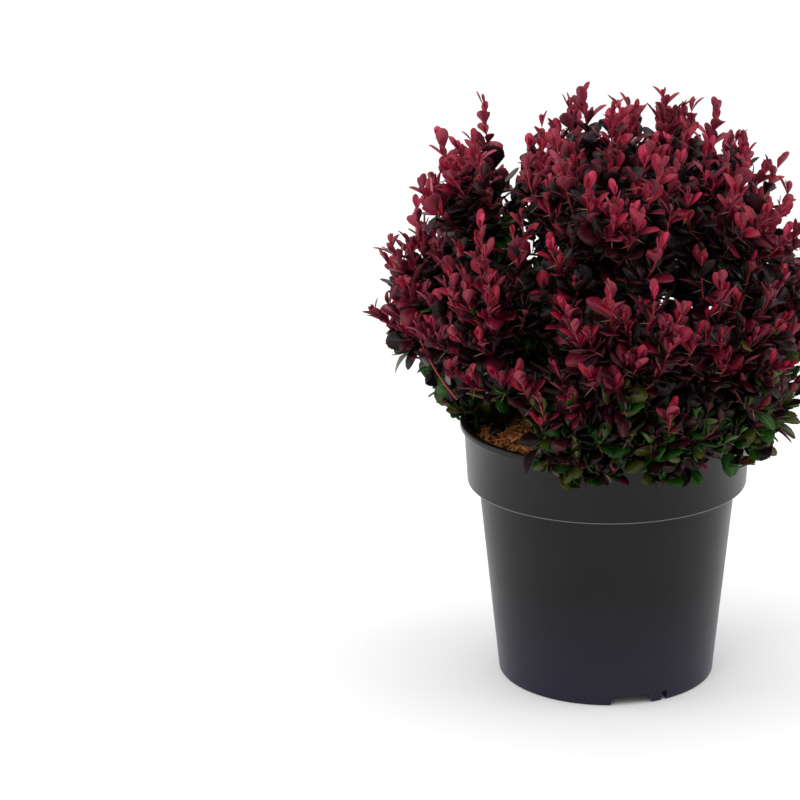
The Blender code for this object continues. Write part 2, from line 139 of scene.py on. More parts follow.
# Shoots and leaves
SIDE_SHOOTS = 4
SIDE_START = (0.22, 0.55)
SIDE_REACH = (0.015, 0.031)
SIDE_DROP = (0.002, 0.026)
SIDE_BEND = 0.14
SIDE_SIZE = 0.92
NODE_GAP = 0.0058
CLUSTER = 3
TIP_SLIMMING = 0.36
LEAF_LENGTHS = (0.0225, 0.0130)
LEAF_WIDTH_SHARE = 0.63
LEAF_THICKNESS = 0.02
LEAF_SHAPES = ((0.16, -0.10, 1.0), (0.26, -0.20, 0.9), (0.10, 0.10, 1.1), (0.20, -0.32, 1.0))
LEAF_DETAIL = 900
LEAF_LEANS = (74.0, 22.0)
LEAF_STATIONS = ((0.10, 0.12), (0.34, 0.56), (0.60, 1.0), (0.82, 0.90), (0.95, 0.50))
UPTURN = 0.55
INNER_SHOOTS = 9
INNER_REACH = (0.018, 0.040)
SHADE_DEPTH = (0.68, 0.90)
LOW_LEAVES, LOW_GREEN_SHARE = 0.204, 0.62
SPINE_LENGTH = 0.0075
SPINE_RADIUS, SPINE_TIP_RADIUS = 0.00030, 0.00004
SPINE_SHARE = 0.86
BESIDE_SWING, BESIDE_LIFT = 38, 16
SHOOT_RADIUS, SIDE_RADIUS, SHOOT_TIP_RADIUS = 0.0011, 0.0008, 0.0005
BARE_SHARE, SIDE_BARE_SHARE = 0.30, 0.25
RED_SHADE = 0.7
# Leaves near each shoot's foot, mostly in the shade tint: painted shade inside each mass; the
# maroon and green among them are leaf colours.
DARK_NODES = (0.05, 0.12, 0.19, 0.26)
DARK_LENGTH, DARK_LEAN = 0.018, 70
# Leaves of the short inner twigs, mostly in the shade tint: painted shade round each mass's stem.
INNER_LENGTH, INNER_LEAN = 0.0165, 66
DARK_TINTS = ("shade", "shade", "maroon", "green")
INNER_TINTS = ("shade", "shade", "shade", "maroon", "green")
MOST_FACES = 190000

# Where the photo shows through the crown: the mulch at the left, and the parting by the tower
WINDOW_FROM, WINDOW_TO, WINDOW_TOP = 186.0, 246.0, 0.216
WINDOW_INNER, WINDOW_ARCH = 0.030, 0.012
PARTING_X, PARTING_HALF, PARTING_FOOT = -0.0620, 0.0055, 0.305
PARTING_RISE = 0.03
SHOOT_SAMPLES = (0.45, 0.6, 0.8, 1.0)

# Tints of the leaves: upper side and underside, dealt out from the shoot's tip inwards
TINTS = {
    "rose": ((0.50, 0.026, 0.080), (0.36, 0.055, 0.090)),
    "crimson": ((0.31, 0.010, 0.036), (0.27, 0.036, 0.060)),
    "ruby": ((0.150, 0.006, 0.022), (0.17, 0.026, 0.042)),
    "maroon": ((0.045, 0.004, 0.010), (0.070, 0.018, 0.024)),
    # The shade tint is painted shade: near-black leaves that stand for the shade deep in the
    # crown.
    "shade": ((0.0105, 0.0028, 0.0038), (0.020, 0.008, 0.009)),
    "olive": ((0.055, 0.060, 0.008), (0.09, 0.10, 0.035)),
    "green": ((0.012, 0.062, 0.005), (0.05, 0.12, 0.03)),
}

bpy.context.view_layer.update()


def new_object(name, data):
    obj = bpy.data.objects.new(name, data)
    bpy.context.scene.collection.objects.link(obj)
    return obj


def from_bmesh(name, bm):
    mesh = bpy.data.meshes.new(name)
    bm.to_mesh(mesh)
    bm.free()
    return new_object(name, mesh)


def new_material(name, gloss):
    material = bpy.data.materials.new(name)
    material.use_nodes = True
    nodes, links = material.node_tree.nodes, material.node_tree.links
    shader = nodes["Principled BSDF"]
    shader.inputs["Specular IOR Level"].default_value = gloss
    return material, nodes, links, shader


def add_noise(nodes, links, place, scale, detail):
    noise = nodes.new("ShaderNodeTexNoise")
    noise.inputs["Scale"].default_value = scale
    noise.inputs["Detail"].default_value = detail
    links.new(place.outputs["Object"], noise.inputs["Vector"])
    return noise.outputs["Fac"]


def add_roughness(nodes, links, shader, source, low, high):
    rough = nodes.new("ShaderNodeMapRange")
    rough.inputs["To Min"].default_value = low
    rough.inputs["To Max"].default_value = high
    links.new(source, rough.inputs["Value"])
    links.new(rough.outputs["Result"], shader.inputs["Roughness"])


def add_relief(nodes, links, shader, source, strength, depth):
    relief = nodes.new("ShaderNodeBump")
    relief.inputs["Strength"].default_value = strength
    relief.inputs["Distance"].default_value = depth
    links.new(source, relief.inputs["Height"])
    links.new(relief.outputs["Normal"], shader.inputs["Normal"])


def add_mix(nodes, links, factor, first, second):
    """A colour mix. The first colour is a plain one or another node's output."""
    blend = nodes.new("ShaderNodeMix")
    blend.data_type = "RGBA"
    if isinstance(first, tuple):
        blend.inputs["A"].default_value = (*first, 1)
    else:
        links.new(first, blend.inputs["A"])
    blend.inputs["B"].default_value = (*second, 1)
    links.new(factor, blend.inputs["Factor"])
    return blend.outputs["Result"]


def finish(name, colour, roughness, bump, scale, spread=0.1, variation=None, gloss=0.4):
    """A Principled material with noise in its roughness, its relief and, if asked, its colour."""
    material, nodes, links, shader = new_material(name, gloss)
    shader.inputs["Base Color"].default_value = (*colour, 1)
    place = nodes.new("ShaderNodeTexCoord")
    noise = add_noise(nodes, links, place, scale, 6)
    add_roughness(nodes, links, shader, noise, roughness - spread, roughness + spread)
    add_relief(nodes, links, shader, noise, bump, 0.0005)
    if variation:
        links.new(add_mix(nodes, links, noise, colour, variation), shader.inputs["Base Color"])
    return material


class Bundle:
    """Many small meshes gathered as arrays, to be joined into one piece."""

    def __init__(self):
        self.verts, self.quads, self.tris = [], [], []
        self.quad_slots, self.tri_slots = [], []
        self.count = 0
        self.faces = 0

    def add(self, verts, quads, tris, quad_slots=None, tri_slots=None):
        self.verts.append(verts)
        self.quads.append(quads + self.count)
        self.tris.append(tris + self.count)
        self.quad_slots.append(np.zeros(len(quads), int) if quad_slots is None else quad_slots)
        self.tri_slots.append(np.zeros(len(tris), int) if tri_slots is None else tri_slots)
        self.count += len(verts)
        self.faces += 2 * len(quads) + len(tris)

    def build(self, name, materials, smooth=True):
        quads, tris = np.concatenate(self.quads), np.concatenate(self.tris)
        slots = np.concatenate(self.quad_slots + self.tri_slots)
        mesh = bpy.data.meshes.new(name)
        mesh.vertices.add(self.count)
        mesh.vertices.foreach_set("co", np.concatenate(self.verts).ravel())
        mesh.loops.add(4 * len(quads) + 3 * len(tris))
        mesh.loops.foreach_set("vertex_index", np.concatenate([quads.ravel(), tris.ravel()]))
        mesh.polygons.add(len(quads) + len(tris))
        starts = np.concatenate(
            [4 * np.arange(len(quads)), 4 * len(quads) + 3 * np.arange(len(tris))]
        )
        mesh.polygons.foreach_set("loop_start", starts)
        mesh.polygons.foreach_set("material_index", slots)
        mesh.polygons.foreach_set("use_smooth", np.full(len(slots), smooth))
        for material in materials:
            mesh.materials.append(material)
        mesh.update(calc_edges=True)
        return new_object(name, mesh)


def tube_arrays(points, radii, sides, relief=None):
    """The arrays of a closed tube through the points, with pointed ends."""
    points = np.array([tuple(point) for point in points])
    tangents = np.gradient(points, axis=0)
    tangents /= np.linalg.norm(tangents, axis=1)[:, None]
    side = np.array(Vector(tangents[0]).orthogonal().normalized())
    turns = np.arange(sides) * math.tau / sides
    rings = []
    for place, (point, tangent, radius) in enumerate(zip(points, tangents, radii)):
        side = side - tangent * (side @ tangent)
        side /= np.linalg.norm(side)
        other = np.cross(tangent, side)
        swell = radius * (1 + (relief(place, turns) if relief else 0))
        swell = np.broadcast_to(swell, turns.shape)[:, None]
        circle = np.outer(np.cos(turns), side) + np.outer(np.sin(turns), other)
        rings.append(point + swell * circle)
    verts = np.concatenate([*rings, points[:1], points[-1:]])
    grid = np.arange(len(points) * sides).reshape(len(points), sides)
    after = np.roll(grid, -1, axis=1)
    quads = np.stack([grid[:-1], after[:-1], after[1:], grid[1:]], -1).reshape(-1, 4)
    first, last = len(verts) - 2, len(verts) - 1
    start = np.stack([after[0], grid[0], np.full(sides, first)], -1)
    end = np.stack([grid[-1], after[-1], np.full(sides, last)], -1)
    return verts, quads, np.concatenate([start, end])


def direction(azimuth, elevation):
    """The unit vector at an azimuth from +X and an elevation, both in degrees."""
    turn, rise = math.radians(azimuth), math.radians(elevation)
    level = math.cos(rise)
    return Vector((math.cos(turn) * level, math.sin(turn) * level, math.sin(rise)))


def elevation_of(axis):
    """The elevation of a unit vector in degrees."""
    return math.degrees(math.asin(max(-1.0, min(1.0, axis.z))))


def crown_reach(axis):
    """How far the crown reaches from the fork: a squarish dome, tucked in below."""
    across = math.hypot(axis.x, axis.y) / CROWN_HALF_WIDTH
    along = max(axis.z, 0.0) / CROWN_HEIGHT
    dome = (across**CROWN_SQUARENESS + along**CROWN_SQUARENESS) ** (-1 / CROWN_SQUARENESS)
    share = (SKIRT_TOP - elevation_of(axis)) / (SKIRT_TOP - SKIRT_FOOT)
    share = max(0.0, min(1.0, share))
    return dome * (1 - SKIRT_TUCK * share * share * (3 - 2 * share))


def crown_masses():
    """Each mass of foliage with its name and the direction of its middle from the fork."""
    masses = []
    for tier, elevation, count, first in TIERS:
        for index in range(count):
            azimuth = first + index * 360 / count
            tilt = 0
            if tier == "lower":
                tilt = SKIRT_TILT * math.cos(math.radians(azimuth - 180))
            name = tier if count == 1 else f"{tier}_{index + 1}"
            masses.append((name, direction(azimuth, elevation + tilt)))
    return masses


def shoot_tips(masses):
    """The tips of each mass's shoots, spread evenly over the crown on a golden-angle spiral."""
    rng = random.Random(SEED)
    lowest = math.sin(math.radians(SKIRT_FOOT))
    tips = {name: [] for name, _ in masses}
    for index in range(SHOOTS):
        height = 1 - (index + 0.5) / SHOOTS * (1 - lowest)
        elevation = math.degrees(math.asin(height)) + rng.uniform(-SHOOT_JITTER, SHOOT_JITTER)
        azimuth = index * GOLDEN_ANGLE + rng.uniform(-SHOOT_JITTER, SHOOT_JITTER)
        stretch = 1 + rng.uniform(-REACH_JITTER, REACH_JITTER)
        axis = direction(azimuth, min(elevation, 90.0))
        name, middle = max(masses, key=lambda mass: mass[1].dot(axis))
        axis = middle.slerp(axis, SPIRAL_TO_CELL)
        tips[name].append(axis * crown_reach(axis) * stretch * REACH_SHARE.get(name, 1.0))
    return tips


def reach_of(name, middle):
    """How far a mass reaches from the fork."""
    return crown_reach(middle) * REACH_SHARE.get(name, 1.0)


def stem_path(name, middle):
    """The start, the middle and the end of a mass's own stem, which turns up a little."""
    start = BOUGH_SHARE * reach_of(name, middle)
    end = MASS_STEM_SHARE * reach_of(name, middle)
    rise = UP - middle * UP.dot(middle)
    lift = STEM_LIFT * (end - start)
    return [
        middle * start,
        middle * (start + end) / 2 + rise * lift * 0.4,
        middle * end + rise * lift * 1.6,
    ]


def along_path(path, share):
    """A point on the smooth curve through three points, and the curve's direction there."""
    start, middle, end = path
    bend = middle * 2 - (start + end) / 2
    point = start * (1 - share) ** 2 + bend * 2 * share * (1 - share) + end * share**2
    heading = (bend - start) * (1 - share) + (end - bend) * share
    return point, heading.normalized()


def twig_path(tip, stem, middle):
    """A twig from the stem to a shoot's tip, leaving lower down the wider it spreads."""
    spread = math.degrees(middle.angle(tip))
    share = max(TWIG_LOWEST, min(TWIG_HIGHEST, 0.98 - spread / TWIG_SPREAD))
    start, _ = along_path(stem, share)
    end = start.lerp(tip, 1 - TIP_ALLOWANCE / (tip - start).length)
    lift = UP - tip.normalized() * UP.dot(tip.normalized())
    bend = start.lerp(end, 0.5) - lift * TWIG_RISE * (end - start).length
    return [start, bend, end]


def side_path(path, rng):
    """A side shoot: it leaves its twig half way up and turns up beside it."""
    start, heading = along_path(path, rng.uniform(*SIDE_START))
    tip, _ = along_path(path, 1.0)
    around = heading.orthogonal().normalized()
    around.rotate(Quaternion(heading, rng.uniform(0, math.tau)))
    end = tip + around * rng.uniform(*SIDE_REACH) - heading * rng.uniform(*SIDE_DROP)
    end = end * min(1.0, (crown_reach(end.normalized()) - TIP_ALLOWANCE) / end.length)
    bend = start.lerp(end, 0.5) + (around - UP) * SIDE_BEND * (end - start).length
    return [start, bend, end]


def clear_of_pot(point):
    """Whether a point in the frame is clear of the rim, the wall and the compost."""
    radius = math.hypot(point.x, point.y)
    if radius > RIM_RADIUS + 0.001:
        return True
    if radius > COLLAR_TOP_RADIUS - 0.004:
        return point.z > POT_HEIGHT + 0.001
    return point.z > GROUND + 0.004


def open_to_view(point):
    """Whether a point in the frame lies where the photo shows the mulch or the white behind."""
    if abs(point.x - PARTING_X) < PARTING_HALF * (point.z - PARTING_FOOT) / PARTING_RISE:
        return True
    turn = math.degrees(math.atan2(point.y, point.x)) % 360
    if not WINDOW_FROM < turn < WINDOW_TO or math.hypot(point.x, point.y) < WINDOW_INNER:
        return False
    share = (turn - WINDOW_FROM) / (WINDOW_TO - WINDOW_FROM)
    return point.z < WINDOW_TOP - WINDOW_ARCH + WINDOW_ARCH * math.sin(math.pi * share)


def leaf_templates():
    """A few closed leaf shells, one unit long: Y runs to the tip, Z is the upper side."""
    shells = []
    for fold, curl, fatness in LEAF_SHAPES:
        verts = [(0, 0, 0), (0, 1, curl)]
        for along, width in LEAF_STATIONS:
            half = width * fatness * LEAF_WIDTH_SHARE / 2
            bow = curl * along * along
            edge = bow + fold * half
            verts += [(-half, along, edge), (0, along, bow), (half, along, edge)]
            verts.append((0, along, bow - LEAF_THICKNESS))
        shells.append(np.array(verts))
    count = len(LEAF_STATIONS)
    at = [2 + 4 * station for station in range(count)]
    quads, tris, quad_slots, tri_slots = [], [], [], []
    for low, high in zip(at, at[1:]):
        quads += [(low, low + 1, high + 1, high), (low + 1, low + 2, high + 2, high + 1)]
        quads += [(low, high, high + 3, low + 3), (low + 3, high + 3, high + 2, low + 2)]
        quad_slots += [0, 0, 1, 1]
    first, last = at[0], at[-1]
    tris += [(0, first + 1, first), (0, first + 2, first + 1)]
    tris += [(0, first, first + 3), (0, first + 3, first + 2)]
    tris += [(last, last + 1, 1), (last + 1, last + 2, 1)]
    tris += [(last + 3, last, 1), (last + 2, last + 3, 1)]
    tri_slots += [0, 0, 1, 1, 0, 0, 1, 1]
    return shells, np.array(quads), np.array(tris), np.array(quad_slots), np.array(tri_slots)


SHELLS, LEAF_QUADS, LEAF_TRIS, QUAD_SLOTS, TRI_SLOTS = leaf_templates()


class Foliage:
    """The leaves of the whole crown, gathered by tint, with the shoots and spines."""

    def __init__(self):
        self.tints = {tint: [Bundle()] for tint in TINTS}
        self.shoots, self.twigs, self.spines = Bundle(), Bundle(), Bundle()

    def leaf(self, root, axis, upper, length, tint, rng, breadth=1.0):
        """One leaf with its root at a point counted from the fork."""
        tip = root + axis * length + FORK
        if not clear_of_pot(tip) or not clear_of_pot(root + axis * length / 2 + FORK):
            return
        if open_to_view(tip) or open_to_view(root + FORK):
            return
        side = axis.cross(upper).normalized()
        upper = side.cross(axis).normalized()
        basis = np.array([side, axis, upper]) * length
        width = rng.uniform(0.88, 1.12) * breadth
        shell = SHELLS[rng.randrange(len(SHELLS))]
        verts = shell * (width, 1, 1) @ basis + np.array(root + FORK)
        # Leaves deep in the crown take the near-black shade tint: painted shade.
        depth = root.length / crown_reach(root.normalized())
        if rng.uniform(*SHADE_DEPTH) > depth and tint not in ("green", "olive"):
            tint = "shade"
        # Low leaves near the pot turn green or olive, their own colours, or take the shade tint,
        # which is painted shade.
        if root.z + FORK.z < LOW_LEAVES and rng.random() < LOW_GREEN_SHARE:
            tint = rng.choice(("green", "green", "olive", "shade"))
        bundle = self.tints[tint][-1]
        if bundle.faces > MOST_FACES:
            bundle = Bundle()
            self.tints[tint].append(bundle)
        bundle.add(verts, LEAF_QUADS, LEAF_TRIS, QUAD_SLOTS, TRI_SLOTS)

    def cluster(self, path, share, turn, length, lean, tints, rng, count=CLUSTER, breadth=1.0):
        """The leaves of one node: a large one with smaller ones at its sides, and a spine."""
        point, heading = along_path(path, share)
        if open_to_view(point + FORK):
            return
        heading = (heading + UP * UPTURN).normalized()
        for number in range(count):
            swing, size = 0, length
            if number:
                swing = (BESIDE_SWING if number % 2 else -BESIDE_SWING) + rng.uniform(-12, 12)
                size = length * rng.uniform(0.55, 0.82)
            around = heading.orthogonal().normalized()
            around.rotate(Quaternion(heading, math.radians(turn + swing + rng.uniform(-10, 10))))
            lift = BESIDE_LIFT if number else 0
            tilt = math.radians(lean - lift + rng.uniform(-11, 11))
            axis = heading * math.cos(tilt) + around * math.sin(tilt)
            upper = heading * math.sin(tilt) - around * math.cos(tilt)
            upper.rotate(Quaternion(axis, math.radians(rng.uniform(-24, 24))))
            self.leaf(point, axis, upper, size, rng.choice(tints), rng, breadth)
        if count == CLUSTER and share < SPINE_SHARE:
            around = heading.orthogonal().normalized()
            around.rotate(Quaternion(heading, math.radians(turn)))
            tip = point + (around * 0.9 - heading * 0.25).normalized() * SPINE_LENGTH
            points = [point + FORK, point.lerp(tip, 0.5) + FORK, tip + FORK]
            radii = [SPINE_RADIUS, SPINE_RADIUS * 0.7, SPINE_TIP_RADIUS]
            self.spines.add(*tube_arrays(points, radii, 3))

    def shoot(self, path, wood, clothed, shade, rng, size=1.0):
        """A shoot along a path: its stem and its nodes, from the dark inner leaves to the tip."""
        if any(open_to_view(along_path(path, share)[0] + FORK) for share in SHOOT_SAMPLES):
            return
        length = (path[1] - path[0]).length + (path[2] - path[1]).length
        nodes = max(5, int(length * (1 - clothed) / NODE_GAP))
        turn = rng.uniform(0, 360)
        for node in range(nodes + 1):
            share = clothed + (1 - clothed) * node / nodes
            young = node / nodes
            leaf_length = LEAF_LENGTHS[0] + (LEAF_LENGTHS[1] - LEAF_LENGTHS[0]) * young**1.4
            lean = LEAF_LEANS[0] + (LEAF_LEANS[1] - LEAF_LEANS[0]) * young
            leaf_length *= size * rng.uniform(0.85, 1.12)
            turn += GOLDEN_ANGLE
            tints = leaf_tints(young, shade, rng)
            breadth = 1 - TIP_SLIMMING * young**3
            count = CLUSTER + 1 if node > nodes - 2 else CLUSTER
            self.cluster(path, share, turn, leaf_length, lean, tints, rng, count, breadth)
        shares = np.linspace(0, 1, 9)
        points = [along_path(path, share)[0] + FORK for share in shares]
        radii = wood + (SHOOT_TIP_RADIUS - wood) * shares
        target = self.shoots if shade < RED_SHADE else self.twigs
        target.add(*tube_arrays(points, radii, 6))


def leaf_tints(young, shade, rng):
    """The tints of a node: bright at a shoot's tip, darker inwards, green where it is shaded;
    shade also darkens them, down to the near-black shade tint, which is painted shade.
    """
    if rng.random() < 0.75 * max(0.0, shade - 0.45):
        return ("green", "olive", "shade") if young > 0.4 else ("green", "shade", "olive")
    # Shade lowers the glow: shaded shoots take darker tints, down to the near-black shade tint,
    # which is painted shade.
    glow = young - 0.75 * shade + rng.uniform(-0.10, 0.10)
    if glow > 0.72:
        return ("rose", "crimson", "crimson")
    if glow > 0.42:
        return ("crimson", "ruby", "crimson")
    if glow > 0.12:
        return ("ruby", "maroon", "ruby")
    return ("maroon", "shade", "maroon")


def grow_inner(foliage, name, stem):
    """Short brown twigs with dark leaves, mostly in the shade tint as painted shade, that fill a
    mass round its stem.
    """
    rng = random.Random(f"{SEED} inner {name}")
    for inner in np.linspace(0.0, 1.0, INNER_SHOOTS):
        start, heading = along_path(stem, inner)
        around = heading.orthogonal().normalized()
        around.rotate(Quaternion(heading, rng.uniform(0, math.tau)))
        end = start + (around + heading * rng.uniform(-0.7, 0.7)) * rng.uniform(*INNER_REACH)
        path = [start, start.lerp(end, 0.5), end]
        if open_to_view(end + FORK) or not clear_of_pot(end + FORK):
            continue
        for share in np.linspace(0.15, 1.0, 6):
            turn = rng.uniform(0, 360)
            foliage.cluster(path, share, turn, INNER_LENGTH, INNER_LEAN, INNER_TINTS, rng, 2)
        points = [point + FORK for point in path]
        foliage.twigs.add(*tube_arrays(points, [0.0009, 0.0007, 0.0004], 5))


def shade_of(tip):
    """How shaded a shoot is, from 0 at the top of the crown to 1 low down near the pot."""
    height = tip.z / CROWN_HEIGHT
    return max(0.0, min(1.0, 0.92 - 1.15 * height))


def grow_crown(masses):
    """All the shoots of the crown, with their side shoots, and the dark inside of each mass, whose
    near-black leaves are painted shade.
    """
    foliage = Foliage()
    tips = shoot_tips(masses)
    for name, middle in masses:
        stem = stem_path(name, middle)
        for number, tip in enumerate(tips[name]):
            rng = random.Random(f"{SEED} scene {name} {number}")
            path = twig_path(tip, stem, middle)
            shade = shade_of(tip)
            foliage.shoot(path, SHOOT_RADIUS, BARE_SHARE, shade, rng)
            side_shade = min(1.0, shade + 0.08)
            for _ in range(SIDE_SHOOTS):
                side = side_path(path, rng)
                foliage.shoot(side, SIDE_RADIUS, SIDE_BARE_SHARE, side_shade, rng, SIDE_SIZE)
            # Near-black leaves near the shoot's foot: painted shade.
            for share in DARK_NODES:
                turn = rng.uniform(0, 360)
                foliage.cluster(path, share, turn, DARK_LENGTH, DARK_LEAN, DARK_TINTS, rng, 2)
        grow_inner(foliage, name, stem)
    return foliage


def join_crown(foliage, masses):
    """Builds the pieces of the crown and says what they stand for."""
    pieces = []
    for tint, bundles in foliage.tints.items():
        upper, under = TINTS[tint]
        top = finish(f"leaf_{tint}", upper, 0.32, 0.25, LEAF_DETAIL, 0.08, gloss=0.22)
        back = finish(f"leaf_{tint}_under", under, 0.55, 0.25, LEAF_DETAIL, 0.08, gloss=0.18)
        for number, bundle in enumerate(bundles):
            if bundle.count:
                pieces.append(bundle.build(f"leaves_{tint}_{number + 1}", [top, back]))
    red = finish("shoot_red", (0.30, 0.022, 0.035), 0.42, 0.3, 700)
    brown = finish("twig_brown", (0.11, 0.045, 0.03), 0.6, 0.5, 700)
    straw = finish("spine_straw", (0.45, 0.24, 0.14), 0.5, 0.2, 700)
    pieces.append(foliage.shoots.build("red_shoots", [red]))
    pieces.append(foliage.twigs.build("brown_twigs", [brown]))
    pieces.append(foliage.spines.build("spines", [straw]))
    for piece in pieces:
        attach(piece, "root")
    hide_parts(*[f"foliage_{name}" for name, _ in masses])


def bark_relief(rng):
    """A function that gives the bark's ridges round each ring of a limb."""
    phases = [rng.uniform(0, math.tau) for _ in range(4)]

    def relief(place, turns):
        ridges = 0.05 * np.sin(5 * turns + phases[0] + 0.35 * place)
        ridges = ridges + 0.04 * np.sin(9 * turns + phases[1] - 0.6 * place)
        return ridges + 0.05 * math.sin(1.3 * place + phases[2])

    return relief


def grow_limbs(masses):
    """The main stem, its knob, the boughs and the stems of the masses, with relief in the bark."""
    limbs = Bundle()
    rng = random.Random(SEED)
    foot = GROUND + 0.0001
    heights = np.linspace(0, 1, STEM_RINGS)
    radii = STEM_RADIUS + (FLARE_RADIUS - STEM_RADIUS) * np.exp(-heights * 7)
    knob = np.sqrt(np.clip(1 - ((heights - 0.72) / 0.36) ** 2, 0.0, 1))
    radii = np.maximum(radii * (heights < 0.75), KNOB_RADIUS * knob) + 0.0004
    points = [Vector((0, 0, foot + (KNOB_RADIUS + STEM_HEIGHT) * height)) for height in heights]
    limbs.add(*tube_arrays(points, radii, STEM_SIDES, bark_relief(rng)))
    for name, middle in masses:
        rng = random.Random(f"{SEED} bough {name}")
        end = BOUGH_SHARE * reach_of(name, middle)
        sway = middle.orthogonal().normalized() * BOUGH_SWAY
        sway.rotate(Quaternion(middle, rng.uniform(0, math.tau)))
        shares = np.linspace(0, 1, BOUGH_RINGS)
        start = KNOB_RADIUS * 0.8
        points = [
            FORK + middle * (start + (end - start) * part) + sway * math.sin(math.pi * part) ** 2
            for part in shares
        ]
        radii = BOUGH_RADIUS + (BOUGH_TIP_RADIUS - BOUGH_RADIUS) * shares
        limbs.add(*tube_arrays(points, radii, BOUGH_SIDES, bark_relief(rng)))
        stem = stem_path(name, middle)
        shares = np.linspace(0, 1, MASS_STEM_RINGS)
        points = [along_path(stem, share)[0] + FORK for share in shares]
        radii = BOUGH_TIP_RADIUS + (MASS_STEM_TIP_RADIUS - BOUGH_TIP_RADIUS) * shares
        limbs.add(*tube_arrays(points, radii, MASS_STEM_SIDES, bark_relief(rng)))
    bark = finish("bark", (0.10, 0.045, 0.032), 0.75, 0.8, 500, variation=(0.20, 0.10, 0.07))
    piece = limbs.build("stem_and_boughs", [bark])
    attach(piece, "root")
    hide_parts("main_stem", *[f"bough_{name}" for name, _ in masses])


def body_radius(height):
    """The outer radius of the tapering body at a height."""
    share = height / (POT_HEIGHT - COLLAR_HEIGHT)
    return FOOT_RADIUS + share * (BODY_TOP_RADIUS - FOOT_RADIUS)


def arc(centre, radius, start, end, steps=5):
    """Points of (radius, height) along an arc, with angles in degrees."""
    angles = np.radians(np.linspace(start, end, steps))
    across, up = centre
    return [(across + radius * math.cos(a), up + radius * math.sin(a)) for a in angles]


def pot_profile():
    """The pot's outline from the floor's middle up inside, over the lip and down to the foot."""
    ledge = POT_HEIGHT - COLLAR_HEIGHT
    floor = FLOOR_RISE + WALL
    bead = RIM_RADIUS - COLLAR_TOP_RADIUS
    inner, outer = LIP_INNER_ROUND, LIP_OUTER_ROUND
    points = [
        (0, WALL),
        (FLOOR_DISC_RADIUS, WALL),
        (FLOOR_DISC_RADIUS + FLOOR_SLOPE, floor),
        (body_radius(floor) - WALL, floor),
        (BODY_TOP_RADIUS - WALL, ledge + WALL),
        (COLLAR_FOOT_RADIUS - WALL, ledge + WALL),
        (COLLAR_TOP_RADIUS - WALL, POT_HEIGHT - bead),
    ]
    points += arc((COLLAR_TOP_RADIUS - WALL + inner, POT_HEIGHT - inner), inner, 180, 90)
    points += arc((RIM_RADIUS - outer, POT_HEIGHT - outer), outer, 90, 0)
    points += arc((RIM_RADIUS - outer, POT_HEIGHT - RIM_BEAD + outer), outer, 0, -90)
    points += [(COLLAR_TOP_RADIUS + 0.0004, POT_HEIGHT - RIM_BEAD)]
    points += [(COLLAR_TOP_RADIUS, POT_HEIGHT - RIM_BEAD - CORNER)]
    fillet = COLLAR_FOOT_ROUND
    points += arc((COLLAR_FOOT_RADIUS - fillet, ledge + fillet), fillet, 0, -90, 4)
    points += [(BODY_TOP_RADIUS + 0.0004, ledge), (BODY_TOP_RADIUS, ledge - CORNER)]
    points += [(body_radius(h), h) for h in np.linspace(ledge * 0.95, 0.004, 12)]
    points += arc((FOOT_RADIUS - CORNER, FOOT_ROUND), FOOT_ROUND, 0, -90, 4)
    points += [
        (FOOT_RADIUS - WALL, 0),
        (FOOT_RADIUS - WALL, FLOOR_RISE),
        (FLOOR_DISC_RADIUS + FLOOR_SLOPE + WALL, FLOOR_RISE),
        (FLOOR_DISC_RADIUS + WALL, 0),
        (0, 0),
    ]
    return points


def notch_cutters():
    """One object with the wedges that open the pot's foot."""
    bm = bmesh.new()
    for index in range(FOOT_NOTCHES):
        for low, high, shoulder in (
            (NOTCH_FROM, NOTCH_TO, NOTCH_SHOULDER),
            (SLOT_FROM, SLOT_TO, SLOT_SHOULDER),
        ):
            turn = FRONT + index * 360 / FOOT_NOTCHES + (low + high) / 2
            half = FOOT_RADIUS * math.sin(math.radians((high - low) / 2))
            top = half - FOOT_RADIUS * math.sin(math.radians(shoulder))
            cube = bmesh.ops.create_cube(bm, size=1.0)["verts"]
            for vert in cube:
                up = vert.co.z > 0
                side = math.copysign(top if up else half, vert.co.y)
                depth = math.copysign(4 * WALL, vert.co.x)
                vert.co = (FOOT_RADIUS - WALL + depth, side, FLOOR_RISE if up else -FLOOR_RISE)
            spin = Matrix.Rotation(math.radians(turn), 4, "Z")
            bmesh.ops.transform(bm, matrix=spin, verts=cube)
    return from_bmesh("notches", bm)


def apply_modifiers(obj):
    """Applies the object's modifiers to its mesh."""
    bpy.context.view_layer.update()
    depsgraph = bpy.context.evaluated_depsgraph_get()
    mesh = bpy.data.meshes.new_from_object(obj.evaluated_get(depsgraph))
    obj.modifiers.clear()
    obj.data = mesh


